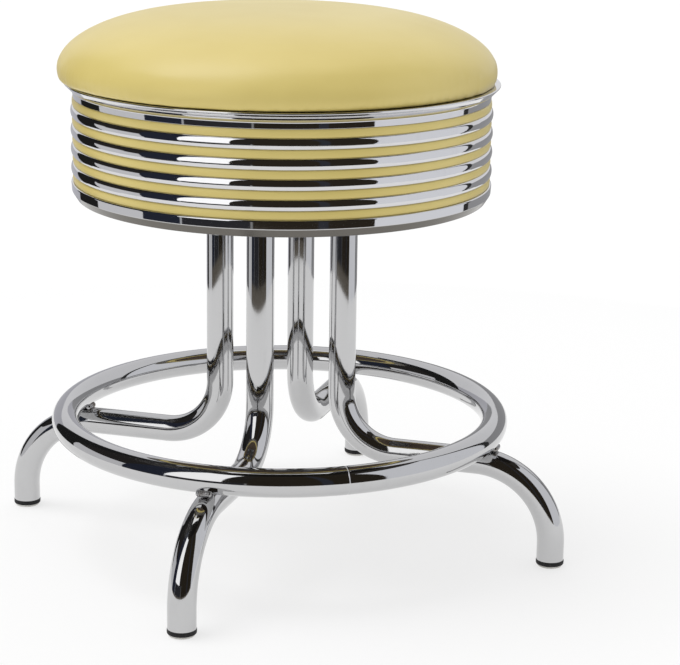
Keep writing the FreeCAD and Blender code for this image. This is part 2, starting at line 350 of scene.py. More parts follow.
def ring_section(turn):
    off_seam = abs(math.remainder(turn - seam_turn, 2 * math.pi)) * ring_radius
    dip = seam_depth * max(0.0, 1.0 - off_seam / seam_half_width)
    radius = tube_radius - dip
    return roll(ring_radius, ring_height, radius, 0, 360, tube_facets)[:-1]


seam_step = seam_half_width / ring_radius
ring_turns = even_turns(ring_steps) + [2 * math.pi + seam_turn + seam_step * k / 2 for k in range(-3, 4)]
foot_ring = turned("foot_ring_tube", ring_section, sorted(ring_turns), tube_chrome)
join(foot_ring, "frame", "tube_chrome", "foot_ring")


# The ring lies on the legs and is held by a short bead on each side of every crossing.
# The beads are laid by hand in overlapping drops, then plated with the frame, so they stay rough.
bead_drops = 12
bead_drop_radius = 0.0028
bead_length = 0.010
bead_offset = 0.0078
bead_lift = 0.0014
weld_colour = (0.42, 0.42, 0.43, 1.0)
weld_burnt_colour = (0.20, 0.18, 0.16, 1.0)

rough_weld = Finish("plated_weld", Metallic=1.0)
weld_scale = rough_weld.clouds(900.0, 3.0)
weld_heat = rough_weld.between(rough_weld.clouds(160.0), 0.4, 0.7)
weld_shade = rough_weld.blend(weld_heat, weld_colour, weld_burnt_colour)
weld_plate = rough_weld.feed(Base_Color=weld_shade, Roughness=0.10 + weld_scale * 0.22,
                             Normal=rough_weld.bump(weld_scale, 0.0001, 0.5))


def drop_row(pattern, count, length, radius):
    # A row of overlapping drops along Y, middle at the origin.
    start = pattern.point(0.0, length * -0.5, 0.0)
    end = pattern.point(0.0, length * 0.5, 0.0)
    line = pattern.node("GeometryNodeMeshLine", {"mode": "END_POINTS"},
                        {"Count": count, "Start Location": start, "Offset": end})
    drop = pattern.node("GeometryNodeMeshUVSphere", {}, {"Segments": 14, "Rings": 9, "Radius": radius})
    size = pattern.node("FunctionNodeRandomValue", {"data_type": "FLOAT"}, {2: 0.93, 3: 1.04, 8: 4}, 1)
    return pattern.node("GeometryNodeInstanceOnPoints", {},
                        {"Points": line, "Instance": drop, "Scale": pattern.point(size, size * 0.8, size)})


ring_beads = Pattern("ring_beads", drops=bead_drops, drop_radius=bead_drop_radius, length=bead_length,
                     offset=bead_offset, ring_radius=ring_radius, height=run_height + tube_radius + bead_lift)
both_sides = ring_beads.node("GeometryNodeJoinGeometry")
for way in (-1.0, 1.0):
    row = drop_row(ring_beads, ring_beads.size("drops"), ring_beads.size("length"),
                   ring_beads.size("drop_radius"))
    row = ring_beads.moved(row, ring_beads.point(ring_beads.size("offset") * way, 0.0, 0.0))
    ring_beads.tree.links.new(row.socket, both_sides.socket.node.inputs[0])
ring_beads.close(ring_beads.around(both_sides, len(leg_turns), ring_beads.size("ring_radius"),
                                   ring_beads.size("height"), 0.0), weld_plate)
join(ring_beads.piece("ring_weld_beads"), "frame", "tube_chrome", "ring_welds")


# A fillet weld runs round the top of each leg where it meets the plate under the seat.
# It is laid in one pass, so its drops follow each other closely.
fillet_drops = 34
fillet_drop_radius = 0.0021
fillet_setback = 0.0006

top_beads = Pattern("plate_beads", drops=fillet_drops, drop_radius=fillet_drop_radius,
                    round_radius=tube_radius + fillet_setback, column_radius=column_radius,
                    height=leg_high.z - fillet_drop_radius)
top_drop = top_beads.node("GeometryNodeMeshUVSphere", {},
                          {"Segments": 10, "Rings": 7, "Radius": top_beads.size("drop_radius")})
one_round = top_beads.around(top_drop, top_beads.size("drops"), top_beads.size("round_radius"), 0.0, 0.0)
top_beads.close(top_beads.around(one_round, len(leg_turns), top_beads.size("column_radius"),
                                 top_beads.size("height"), 0.0), weld_plate)
join(top_beads.piece("plate_weld_beads"), "frame", "tube_chrome", "plate_welds")


# Each leg ends in a black moulded cap with a plug up the tube, and a pale nylon glide under it.
# The cap has a rolled rim that covers the cut end of the tube.
cap_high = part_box("foot_cap_right")[1]
cap_radius = cap_high.x - foot_radius
cap_lap = 0.0022
cap_roll = 0.0003
plug_radius = 0.0109
plug_chamfer = 0.001
glide_radius = glide_high.x - foot_radius
glide_edge = 0.0008
glide_hollow_radius = 0.007
glide_hollow_depth = 0.0006
foot_steps = 72
cap_colour = (0.010, 0.010, 0.011, 1.0)
cap_scuff_colour = (0.035, 0.034, 0.032, 1.0)
glide_colour = (0.66, 0.65, 0.62, 1.0)
glide_worn_colour = (0.47, 0.45, 0.42, 1.0)

cap_black = Finish("cap_plastic", IOR=1.47, Specular_IOR_Level=0.3)
cap_grain = cap_black.clouds(1400.0, 2.0)
cap_scuff = cap_black.between(cap_black.clouds(240.0, 5.0), 0.52, 0.75)
cap_shade = cap_black.blend(cap_scuff, cap_colour, cap_scuff_colour)
cap_plastic = cap_black.feed(Base_Color=cap_shade, Roughness=0.52 + cap_grain * 0.25,
                             Normal=cap_black.bump(cap_grain, 0.00003, 0.5))
glide_grey = Finish("glide_plastic", IOR=1.5)
glide_wear = glide_grey.between(glide_grey.clouds(300.0, 6.0), 0.4, 0.75)
glide_shade = glide_grey.blend(glide_wear, glide_colour, glide_worn_colour)
glide_plastic = glide_grey.feed(Base_Color=glide_shade, Roughness=0.45 + glide_wear * 0.3,
                                Normal=glide_grey.bump(glide_wear, 0.00005, 0.4))

rim_bottom_edge = glide_high.z - cap_lap
rim_middle = (rim_bottom_edge + leg_low.z) / 2
rim_half = (leg_low.z - rim_bottom_edge) / 2
cap_outline = ([(0.0, glide_high.z), (glide_radius, glide_high.z), (glide_radius, rim_bottom_edge)]
               + arc(cap_radius - cap_roll, rim_middle, cap_roll, rim_half, -90, 90, 10)
               + [(plug_radius, leg_low.z), (plug_radius, cap_high.z - plug_chamfer),
                  (plug_radius - plug_chamfer, cap_high.z), (0.0, cap_high.z)])
glide_outline = ([(0.0, glide_hollow_depth), (glide_hollow_radius, glide_hollow_depth),
                  (glide_hollow_radius + glide_hollow_depth, 0.0)]
                 + roll(glide_radius - glide_edge, glide_edge, glide_edge, -90, 0, 5)
                 + [(glide_radius, glide_high.z), (0.0, glide_high.z)])
for side, degrees in leg_turns.items():
    foot_x = foot_radius * math.cos(math.radians(degrees))
    foot_y = foot_radius * math.sin(math.radians(degrees))
    cap = turned("foot_cap_rim_" + side, lambda turn: cap_outline, even_turns(foot_steps), cap_plastic,
                 x=foot_x, y=foot_y)
    join(cap, "frame", "cap_plastic", "foot_cap_" + side)
    glide = turned("glide_disc_" + side, lambda turn: glide_outline, even_turns(foot_steps), glide_plastic,
                   x=foot_x, y=foot_y)
    join(glide, "frame", "glide_plastic", "glide_pad_" + side)


# A square black plate is welded to the tops of the legs, and the swivel is bolted on it.
# Its paint is sprayed on, with a fine orange peel and a little dust.
paint_colour = (0.030, 0.030, 0.032, 1.0)
paint_dust_colour = (0.085, 0.082, 0.078, 1.0)

plate_paint = Finish("frame_plate_paint", IOR=1.5)
paint_peel = plate_paint.clouds(420.0, 2.0)
paint_dust = plate_paint.between(plate_paint.clouds(70.0, 5.0), 0.45, 0.8)
paint_shade = plate_paint.blend(paint_dust, paint_colour, paint_dust_colour)


def dress(node, material):
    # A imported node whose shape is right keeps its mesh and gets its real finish.
    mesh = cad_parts[node].data
    mesh.materials.clear()
    mesh.materials.append(material)


dress("frame_plate", plate_paint.feed(Base_Color=paint_shade, Roughness=0.3 + paint_dust * 0.35,
                                      Normal=plate_paint.bump(paint_peel, 0.00006, 0.5)))


# The swivel is two pressed sheets, zinc plated, held together by a riveted pin.
# Zinc shows soft spangle, a faint blue passivate and small scratches from the press.
zinc_light = (0.60, 0.61, 0.63, 1.0)
zinc_dark = (0.50, 0.52, 0.56, 1.0)

zinc = Finish("zinc_steel", Metallic=1.0)
spangle = zinc.node("ShaderNodeTexVoronoi", {}, {"Vector": zinc.place, "Scale": 260.0}, "Color")
spangle_grey = zinc.node("ShaderNodeRGBToBW", {}, {"Color": spangle})
zinc_scratch = zinc.between(zinc.clouds(500.0, 4.0, zinc.stretched(1.0, 0.06, 1.0)), 0.55, 0.8)
zinc_shade = zinc.blend(spangle_grey, zinc_light, zinc_dark)
zinc_steel = zinc.feed(Base_Color=zinc_shade, Roughness=0.26 + spangle_grey * 0.12 + zinc_scratch * 0.12,
                       Normal=zinc.bump(zinc_scratch, 0.00003, 0.5))
for node in ("swivel_bottom_plate", "swivel_top_plate", "king_pin", "pin_washer"):
    dress(node, zinc_steel)


# Between the sheets lies a flat nylon ring that carries the weight while the seat turns.
# Nylon is milky, with a film of yellowed grease in patches.
nylon_colour = (0.80, 0.78, 0.72, 1.0)
grease_colour = (0.66, 0.58, 0.42, 1.0)

nylon = Finish("bearing_nylon", IOR=1.53)
grease = nylon.between(nylon.clouds(120.0, 4.0), 0.4, 0.7)
nylon_shade = nylon.blend(grease, nylon_colour, grease_colour)
dress("bearing_ring", nylon.feed(Base_Color=nylon_shade, Roughness=0.5 - grease * 0.3,
                                 Normal=nylon.bump(grease, 0.0001, 0.4)))


# Four hexagon bolts join the swivel's lower sheet to the plate, with plain nuts below.
# Heads and nuts have turned chamfers, and the bolt ends carry a rolled thread.
bolt_low, bolt_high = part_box("plate_bolts")
nut_low, nut_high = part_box("plate_nuts")
bolt_radius = 0.004
hexagon_apothem = 0.0065
bolt_head_height = 0.0034
bolt_head_bottom = bolt_high.z - bolt_head_height
bolt_count = 4
bolt_spacing = 0.058
bolt_circle = math.hypot(bolt_spacing, bolt_spacing)
thread_pitch = 0.00125
thread_depth = 0.0005
thread_play = 0.00005
crest_start = 0.35
crest_end = 0.6
chamfer_start = hexagon_apothem * 0.97
chamfer_slope = math.tan(math.radians(30))
hexagon_steps = 48


def hexagon(turn):
    # How far out a hexagon's side lies, and how deep the chamfer cuts it there.
    side = hexagon_apothem / math.cos(math.remainder(turn, math.pi / 3))
    return side, (side - chamfer_start) * chamfer_slope


def threads(bottom, top, radius, pitch, depth):
    points = []
    count = int((top - bottom) / pitch)
    for ridge in range(count):
        z = bottom + ridge * pitch
        points += [(radius - depth, z), (radius, z + pitch * crest_start), (radius, z + pitch * crest_end)]
    return points


def bolt_outline(turn):
    side, drop = hexagon(turn)
    shank = threads(bolt_low.z, nut_low.z, bolt_radius, thread_pitch, thread_depth)
    return ([(0.0, bolt_low.z)] + shank + [(bolt_radius, nut_low.z), (bolt_radius, bolt_head_bottom),
            (side, bolt_head_bottom), (side, bolt_high.z - drop), (chamfer_start, bolt_high.z),
            (0.0, bolt_high.z)])


def nut_outline(turn):
    side, drop = hexagon(turn)
    bore = bolt_radius + thread_play
    return [(bore + thread_depth, nut_low.z), (chamfer_start, nut_low.z), (side, nut_low.z + drop),
            (side, nut_high.z - drop), (chamfer_start, nut_high.z), (bore, nut_high.z),
            (bore, nut_low.z + thread_depth)]


def repeated(name, sample, count, radius, first_turn, material):
    # Copies of one modelled piece round the stool's axis; the sample itself is then thrown away.
    pattern = Pattern(name, count=count, circle_radius=radius, first_turn=first_turn)
    info = pattern.node("GeometryNodeObjectInfo", {"transform_space": "ORIGINAL"}, {"Object": sample},
                        "Geometry")
    copies = pattern.around(info, pattern.size("count"), pattern.size("circle_radius"), 0.0,
                            pattern.size("first_turn"))
    pattern.close(copies, material)
    made = pattern.piece(name)
    bpy.data.objects.remove(sample)
    return made


for name, outline, node in (("hexagon_bolts", bolt_outline, "plate_bolts"),
                            ("hexagon_nuts", nut_outline, "plate_nuts")):
    sample = turned(name + "_sample", outline, even_turns(hexagon_steps), zinc_steel)
    ring = repeated(name, sample, bolt_count, bolt_circle, math.pi / bolt_count, zinc_steel)
    join(ring, "frame", "zinc_steel", node)


# Pan head wood screws hold the swivel's upper sheet, and the band's flange, to the seat board.
# They are zinc plated, with a cross recess that faces down.
pan_radius = 0.0044
pan_height = 0.0023
pan_flat_share = 0.55
cross_arm = 0.0024
cross_half_width = 0.00055
cross_depth = 0.0013
cross_floor_share = 0.7
wood_pitch = 0.0018
wood_thread_depth = 0.0007
bare_shank = 0.001
point_length = 0.002
point_share = 0.3
screw_steps = 64
wood_screws = (
    ("swivel_wood_screws", "seat_screws", 4, 0.00225, 0.062),
    ("flange_wood_screws", "band_screws", 6, 0.00195, 0.174),
)


def screw_outline(turn, low, seat, high, shank):
    # From the recess floor out over the domed head, along the underside and up the threaded shank.
    to_arm = math.remainder(turn, math.pi / 2)
    mouth = min(cross_arm, cross_half_width / max(abs(math.sin(to_arm)), 1e-6))
    flat = pan_radius * pan_flat_share
    dome = arc(flat, seat, pan_radius - flat, seat - low, -90, 0, 6)
    thread = threads(seat + bare_shank, high - point_length, shank, wood_pitch, wood_thread_depth)
    return ([(0.0, low + cross_depth), (mouth * cross_floor_share, low + cross_depth), (mouth, low)] + dome
            + [(shank, seat)] + thread + [(shank * point_share, high), (0.0, high)])


# Each row has a name, the node it stands for, a count, the shank's radius and the radius of its circle.
for name, node, count, shank, circle in wood_screws:
    low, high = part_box(node)
    seat = low.z + pan_height
    sample = turned(name + "_sample", lambda turn: screw_outline(turn, low.z, seat, high.z, shank),
                    even_turns(screw_steps), zinc_steel)
    ring = repeated(name, sample, count, circle, math.pi / count, zinc_steel)
    join(ring, "seat", "zinc_steel", node)


# The seat board is a disc of sawn birch plywood, its colour painted dark as painted shade for the shade under
# the seat.
# Its grain runs one way across the face and wavers a little, with darker pores in it.
# Both grain tones are darkened as painted shade; the grain and pores themselves are the wood's own.
birch_pale_grain_painted_shade = (0.115, 0.078, 0.050, 1.0)
birch_dark_grain_painted_shade = (0.060, 0.040, 0.026, 1.0)
pore_colour = (0.025, 0.016, 0.010, 1.0)

birch = Finish("plywood", IOR=1.45)
grain_place = birch.stretched(1.0, 0.08, 1.0)
grain_warp = birch.clouds(14.0, 3.0, grain_place)
grain = birch.clouds(170.0, 5.0, grain_place)
pores = birch.between(birch.clouds(900.0, 3.0, birch.stretched(1.0, 0.03, 1.0)), 0.56, 0.72)
birch_shade = birch.blend(grain * 0.6 + grain_warp * 0.4, birch_pale_grain_painted_shade, birch_dark_grain_painted_shade)
birch_shade = birch.blend(pores * 0.6, birch_shade, pore_colour)
dress("seat_board", birch.feed(Base_Color=birch_shade, Roughness=0.6 + grain * 0.2,
                               Normal=birch.bump(grain - pores, 0.0002, 0.5)))


# The seat band is one strip of steel, rolled with five grooves and a flared rim, then chromed.
# Its ribs are full and round; a flange turned in at the bottom takes the screws.
band_low, band_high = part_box("seat_band")
inlay_low, inlay_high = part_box("inlay_strip_1")
groove_width = inlay_high.z - inlay_low.z
groove_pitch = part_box("inlay_strip_2")[0].z - inlay_low.z
groove_count = 5
rim_radius = band_high.x
rim_overhang = 0.006
inlay_thickness = 0.003
groove_wall = 0.0027
flange_width = 0.0175
flange_thickness = 0.0012
rib_swell = 0.0026
band_radius = rim_radius - rim_overhang
groove_radius = inlay_high.x - inlay_thickness
band_inner_radius = groove_radius - groove_wall
flange_inner_radius = band_inner_radius - flange_width
bottom_roll = 0.0015
bottom_setback = 0.0058
lip_height = 0.007
lip_roll = 0.002
lip_setback = 0.0004
lip_rise = 0.0008
lip_slant = 36
lowest_roll = 0.0014
lowest_tilt = 4
lip_painted_shade_height = 0.0072
strip_height = 0.005
strip_setback = 0.0018
strip_roll = 0.0006
strip_bulge = 0.0005
strip_tilt = 5
strip_radius = band_radius - strip_setback
flare_radius = 0.0015
flare_turn = 43
last_groove_top = inlay_high.z + (groove_count - 1) * groove_pitch
rim_bottom = last_groove_top + strip_height
rim_edge = 0.001
band_steps = 300
rib_points = 18
band_colour = (0.67, 0.67, 0.68, 1.0)
band_dullness = 0.035
band_ripple = 0.0001

# The band's lowest lip, below this height, is painted dark grey as painted shade for the shaded floor under
# the seat that it mirrors.
band_chrome = chrome("band_chrome", band_colour, band_dullness, band_ripple, band_low.z + lip_painted_shade_height)


def swell(radius, depth, bottom, top, steps):
    # The crest of a rib or an inlay: half an ellipse from its lower edge to its upper edge.
    return arc(radius - depth, (bottom + top) / 2, depth, (top - bottom) / 2, -90, 90, steps)


lip_middle = band_low.z + lip_height + lip_rise
band_outline = [(flange_inner_radius, band_low.z)]
band_outline += roll(band_radius - bottom_setback, band_low.z + bottom_roll, bottom_roll, -90, -lip_slant, 6)
band_outline += roll(band_radius - lip_roll - lip_setback, lip_middle, lip_roll, -lip_slant, -lowest_tilt, 6)
band_outline += roll(band_radius - lowest_roll, inlay_low.z - lowest_roll, lowest_roll, -lowest_tilt, 90, 10)
band_outline += [(groove_radius, inlay_low.z)]
for groove in range(groove_count - 1):
    rib_bottom = inlay_high.z + groove * groove_pitch
    rib_top = rib_bottom + groove_pitch - groove_width
    band_outline += [(groove_radius, rib_bottom)]
    band_outline += swell(band_radius, rib_swell, rib_bottom, rib_top, rib_points)
    band_outline += [(groove_radius, rib_top)]
band_outline += [(groove_radius, last_groove_top)]
band_outline += roll(strip_radius - strip_roll - strip_bulge, last_groove_top + strip_roll, strip_roll,
                     -90, -strip_tilt, 8)
band_outline += roll(strip_radius + flare_radius, rim_bottom, flare_radius,
                     180 - strip_tilt, 180 - flare_turn, 10)
band_outline += roll(rim_radius - rim_edge, band_high.z - rim_edge, rim_edge, -flare_turn, 90, 14)
band_outline += [(band_inner_radius, band_high.z), (band_inner_radius, band_low.z + flange_thickness),
                 (flange_inner_radius, band_low.z + flange_thickness)]
band_outline = firm(band_outline)
band = turned("ribbed_band", lambda turn: band_outline, even_turns(band_steps), band_chrome, sharp=50.0)
join(band, "seat", "band_chrome", "seat_band")


# A strip of yellow vinyl is pressed into each groove and swells out almost to the ribs.
# It is the cover's own vinyl, a little glossier where it is stretched.
inlay_crown = 0.0010
inlay_proud = 0.0004
inlay_face = inlay_high.x + inlay_proud
inlay_points = 16
inlay_dullness = 0.30
vinyl_yellow = (0.71, 0.58, 0.190, 1.0)
vinyl_shadow = (0.62, 0.485, 0.130, 1.0)


def vinyl(name, dullness):
    # Upholstery vinyl: fine pebbled grain over a soft satin film, with slow changes of tone.
    skin = Finish(name, IOR=1.48, Coat_Roughness=0.30)
    pebble = skin.node("ShaderNodeTexVoronoi", {"feature": "SMOOTH_F1"},
                       {"Vector": skin.place, "Scale": 850.0, "Smoothness": 0.6}, "Distance")
    crease = skin.clouds(1500.0, 3.0)
    tone = skin.clouds(9.0, 3.0)
    shade = skin.blend(skin.between(tone, 0.3, 0.7) * 0.5 + crease * 0.15, vinyl_yellow, vinyl_shadow)
    grain = skin.bump(pebble + crease * 0.4, 0.00009, 0.35)
    return skin.feed(Base_Color=shade, Roughness=dullness + tone * 0.12, Normal=grain,
                     Coat_Weight=0.34 - crease * 0.1)


inlay_vinyl = vinyl("inlay_vinyl", inlay_dullness)
for strip in range(groove_count):
    bottom = inlay_low.z + strip * groove_pitch
    top = bottom + groove_width
    outline = [(groove_radius, bottom)]
    outline += swell(inlay_face, inlay_crown, bottom, top, inlay_points)
    outline += [(groove_radius, top)]
    inlay = turned("vinyl_inlay_%d" % (strip + 1), lambda turn: outline, even_turns(band_steps), inlay_vinyl)
    join(inlay, "seat", "inlay_vinyl", "inlay_strip_%d" % (strip + 1))


# The cushion is a foam dome under one drawn skin of butter yellow vinyl, with no seam on top.
# It fills the band, rests on its rim and bulges a little past it; the cloth is blown up to find its form.
cover_low, cover_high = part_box("seat_cover")
foam_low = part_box("seat_foam")[0]
soft_gap = 0.0003
crown_height = 0.051
bulge_height = 0.0127
waist_setback = 0.0024
lean_turn = math.radians(18.14 + 180)
lean_width = 0.0044
lean_height = 0.003
corner_height = 0.006
corner_share = 0.3
crown_squareness = 3.3
crown_fullness = 1.63
slack = 0.0004
reach = 0.0007
held_height = 0.002
cushion_radius = cover_high.x
equator = cover_high.z - crown_height
body_gap = 0.0016
body_margin = 0.001
body_height = 0.02
body_radius = band_inner_radius - body_gap
cloth_frames = 12
cloth_pressure = 1.5
voxel_size = 0.005
cushion_steps = 160
crown_steps = 24
cushion_dullness = 0.36

seat_vinyl = vinyl("seat_vinyl", cushion_dullness)


def dome_outline(shrink):
    # Up the inside of the band, out over the rim, round the bulge and over the squared crown.
    waist = cushion_radius - waist_setback
    rest = band_high.z + soft_gap
    outline = [(0.0, foam_low.z), (body_radius, foam_low.z), (body_radius, rest), (waist - shrink, rest)]
    outline += arc(waist, equator, waist_setback - shrink, bulge_height, -75, -15, 4)
    for step in range(crown_steps + 1):
        angle = math.pi / 2 * step / crown_steps
        across = math.cos(angle) ** (2 / crown_squareness)
        up = math.sin(angle) ** (2 / crown_fullness)
        outline.append(((cushion_radius - shrink) * across, equator + (crown_height - shrink) * up))
    return outline


def remeshed(made, size):
    modifier = made.modifiers.new("voxels", "REMESH")
    modifier.mode = "VOXEL"
    modifier.voxel_size = size
    keep(made)


def blown_up(made, frames, pressure, pinned_below, cap):
    # Inflates the skin, holds what lies inside the band, and lets no point go further than the cap.
    start = [point.co.copy() for point in made.data.vertices]
    held = made.vertex_groups.new(name="held")
    held.add([index for index, point in enumerate(start) if point.z < pinned_below], 1.0, "REPLACE")
    cloth = made.modifiers.new("cloth", "CLOTH")
    cloth.settings.use_pressure = True
    cloth.settings.uniform_pressure_force = pressure
    cloth.settings.quality = 5
    cloth.settings.tension_stiffness = 12
    cloth.settings.compression_stiffness = 12
    cloth.settings.shear_stiffness = 6
    cloth.settings.bending_stiffness = 0.6
    cloth.settings.vertex_group_mass = "held"
    cloth.settings.effector_weights.gravity = 0.0
    cloth.collision_settings.use_collision = False
    cloth.point_cache.frame_end = frames
    for number in range(1, frames + 1):
        bpy.context.scene.frame_set(number)
    keep(made)
    bpy.context.scene.frame_set(1)
    for point, first in zip(made.data.vertices, start):
        move = point.co - first
        if move.length > cap:
            point.co = first + move * (cap / move.length)


cushion = turned("seat_cushion", lambda turn: dome_outline(slack), even_turns(cushion_steps), seat_vinyl)
remeshed(cushion, voxel_size)
blown_up(cushion, cloth_frames, cloth_pressure, band_high.z + held_height, reach)
relax = cushion.modifiers.new("relax", "SMOOTH")
relax.factor = 0.5
relax.iterations = 3
fine = cushion.modifiers.new("fine", "SUBSURF")
fine.levels = fine.render_levels = 1
keep(cushion)
cushion.data.name = "seat_cushion"
for point in cushion.data.vertices:
    # The upholstery was drawn over by hand and sits a little to one side of the rim,
    # where its lowest edge is flattened by the pull.
    lean = lean_width * min(1.0, max(0.0, (point.co.z - band_high.z) / lean_height))
    point.co.x += lean * math.cos(lean_turn)
    point.co.y += lean * math.sin(lean_turn)
    over_rest = point.co.z - band_high.z - soft_gap
    past_body = math.hypot(point.co.x, point.co.y) > body_radius + body_margin
    if past_body and point.co.z > foam_low.z + body_height:
        over_rest = max(over_rest, 0.0)
        if over_rest < corner_height:
            over_rest *= corner_share + (1 - corner_share) * over_rest / corner_height
        point.co.z = band_high.z + soft_gap + over_rest
cushion.data.materials.clear()
cushion.data.materials.append(seat_vinyl)
cushion.data.shade_smooth()
join(cushion, "seat", "seat_vinyl", "seat_cover", "seat_foam")


# Under the board the skin is pulled in tight and lies in small pleats.
# It shows as a narrow ring between the band's flange and the open middle of the board.
wrap_inner_setback = 0.0473
wrap_inner_radius = cushion_radius - wrap_inner_setback
wrap_outer_radius = band_inner_radius - soft_gap
wrap_thickness = 0.0012
pleat_count = 52
pleat_depth = 0.0009
pleat_length = 0.012
pleat_roundness = 0.6
pleat_steps = 10
wrap_gap = 0.0002
wide_waves = 9
wide_wander = 0.0012
fine_waves = 23
fine_wander = 0.0006
wrap_top = foam_low.z - wrap_gap


def wrap_outline(turn):
    fold = pleat_depth * abs(math.sin(pleat_count * turn / 2)) ** pleat_roundness
    wander = wide_wander * math.sin(wide_waves * turn) + fine_wander * math.sin(fine_waves * turn)
    inner = wrap_inner_radius + wander
    low = cover_low.z
    high = low + wrap_thickness
    pleat_end = inner + pleat_length
    turn_up = wrap_outer_radius - wrap_thickness
    return [(inner, low - fold), (inner + pleat_length / 2, low - fold), (pleat_end, low),
            (wrap_outer_radius, low), (wrap_outer_radius, wrap_top), (turn_up, wrap_top), (turn_up, high),
            (pleat_end, high), (inner, high - fold * 0.5)]


wrap = turned("cover_wrap", wrap_outline, even_turns(pleat_count * pleat_steps), seat_vinyl, sharp=60.0)
join(wrap, "seat", "seat_vinyl")


# Wire staples, shot in by hand, hold the pleats to the board.
# Each crown lies flat on the vinyl, across the pull.
staple_count = 44
staple_inset = 0.0045
staple_circle = wrap_inner_radius + staple_inset
staple_width = 0.0095
staple_wire = 0.00055
staple_height = cover_low.z - pleat_depth
staple_leg_share = 0.2

staples = Pattern("staples", count=staple_count, circle_radius=staple_circle, width=staple_width,
                  wire=staple_wire, height=staple_height)
half_width = staples.size("width") * 0.5
leg_up = staples.size("width") * staple_leg_share
crown = staples.node("GeometryNodeCurvePrimitiveQuadrilateral", {"mode": "POINTS"}, {
    "Point 1": staples.point(0.0, half_width * -1.0, leg_up),
    "Point 2": staples.point(0.0, half_width * -1.0, 0.0),
    "Point 3": staples.point(0.0, half_width, 0.0),
    "Point 4": staples.point(0.0, half_width, leg_up),
})
crown = staples.node("GeometryNodeSetSplineCyclic", {}, {"Geometry": crown, "Cyclic": False})
crown = staples.node("GeometryNodeFilletCurve", {"mode": "POLY"},
                     {"Curve": crown, "Count": 3, "Radius": staples.size("wire")})
wire = staples.node("GeometryNodeCurvePrimitiveCircle", {}, {"Resolution": 8, "Radius": staples.size("wire")})
crown = staples.node("GeometryNodeCurveToMesh", {},
                     {"Curve": crown, "Profile Curve": wire, "Fill Caps": True})
wobble = staples.node("FunctionNodeRandomValue", {"data_type": "FLOAT"}, {2: -0.2, 3: 0.2, 8: 7}, 1)
staple_row = staples.around(crown, staples.size("count"), staples.size("circle_radius"),
                            staples.size("height"), 0.0)
staple_row = staples.node("GeometryNodeRotateInstances", {},
                          {"Instances": staple_row, "Rotation": staples.point(0.0, 0.0, wobble)})
staples.close(staple_row, zinc_steel)
join(staples.piece("cover_staples"), "seat", "zinc_steel")


# The studio is a white floor that runs out past the picture, under an even white sky.
# A soft lamp high on the left models the dome and lays the feet's pale shadows to the right.
eye_turn = math.radians(18.14)
eye_distance = 1.9498
eye_height = 0.71424
eye_pan = math.radians(1.619)
eye_tilt = math.radians(14.812)
eye_roll = math.radians(0.814)
lens = 114.59
floor_size = 60.0
floor_albedo = 0.27
floor_glow = 0.67
plain_white = (1.0, 1.0, 1.0, 1.0)
sky_level = 0.55
sky_lean = 0.42
backdrop_level = 1.02
lamp_level = 1.15
lamp_spread = math.radians(34)

eye = bpy.data.objects.new("camera", bpy.data.cameras.new("camera"))
bpy.context.scene.collection.objects.link(eye)
eye.data.lens = lens
eye.data.clip_end = 200.0
eye.location = (eye_distance * math.sin(eye_turn), -eye_distance * math.cos(eye_turn), eye_height)
eye.rotation_mode = "QUATERNION"
eye.rotation_quaternion = (Matrix.Rotation(eye_turn - eye_pan, 3, "Z")
                           @ Matrix.Rotation(math.pi / 2 - eye_tilt, 3, "X")
                           @ Matrix.Rotation(eye_roll, 3, "Z")).to_quaternion()
bpy.context.scene.camera = eye
bpy.context.scene.view_settings.view_transform = "Standard"

floor_finish = Finish("studio_floor", Base_Color=(floor_albedo,) * 3 + (1.0,), Roughness=0.9,
                      Emission_Color=plain_white, Emission_Strength=floor_glow)
floor_mesh = bpy.data.meshes.new("studio_floor")
half = floor_size / 2
floor_corners = [(-half, -half, 0), (half, -half, 0), (half, half, 0), (-half, half, 0)]
floor_mesh.from_pydata(floor_corners, [], [(0, 1, 2, 3)])
floor_mesh.materials.append(floor_finish.material)
floor = bpy.data.objects.new("studio_floor", floor_mesh)
bpy.context.scene.collection.objects.link(floor)

# The lamp stands to the left of the camera.
lamp_turn = eye_turn - math.radians(100)
lamp_rise = math.radians(66)
towards_lamp = Vector((math.sin(lamp_turn) * math.cos(lamp_rise), -math.cos(lamp_turn) * math.cos(lamp_rise),
                       math.sin(lamp_rise)))
lamp = bpy.data.objects.new("soft_lamp", bpy.data.lights.new("soft_lamp", "SUN"))
lamp.data.energy = lamp_level
lamp.data.angle = lamp_spread
lamp.rotation_mode = "QUATERNION"
lamp.rotation_quaternion = towards_lamp.to_track_quat("Z", "Y")
bpy.context.scene.collection.objects.link(lamp)

world = bpy.data.worlds.new("studio")
bpy.context.scene.world = world
world.use_nodes = True
sky = Graph(world.node_tree)
sky.tree.nodes.clear()
direction = sky.node("ShaderNodeTexCoord", {}, {}, "Generated")
lean = sky.node("ShaderNodeVectorMath", {"operation": "DOT_PRODUCT"},
                {0: direction, 1: towards_lamp}, "Value")
leaning_light = sky_level + lean * sky_lean
light = sky.node("ShaderNodeBackground", {}, {"Color": plain_white, "Strength": leaning_light})
white = sky.node("ShaderNodeBackground", {}, {"Color": plain_white, "Strength": backdrop_level})
ray_is_camera = sky.node("ShaderNodeLightPath", {}, {}, "Is Camera Ray")
ray_is_glossy = sky.node("ShaderNodeLightPath", {}, {}, "Is Glossy Ray")
ray_is_through = sky.node("ShaderNodeLightPath", {}, {}, "Is Transmission Ray")
shown = sky.node("ShaderNodeMixShader", {},
                 {0: ray_is_camera + ray_is_glossy + ray_is_through, 1: light, 2: white})
sky_out = sky.tree.nodes.new("ShaderNodeOutputWorld")
sky.tree.links.new(shown.socket, sky_out.inputs["Surface"])


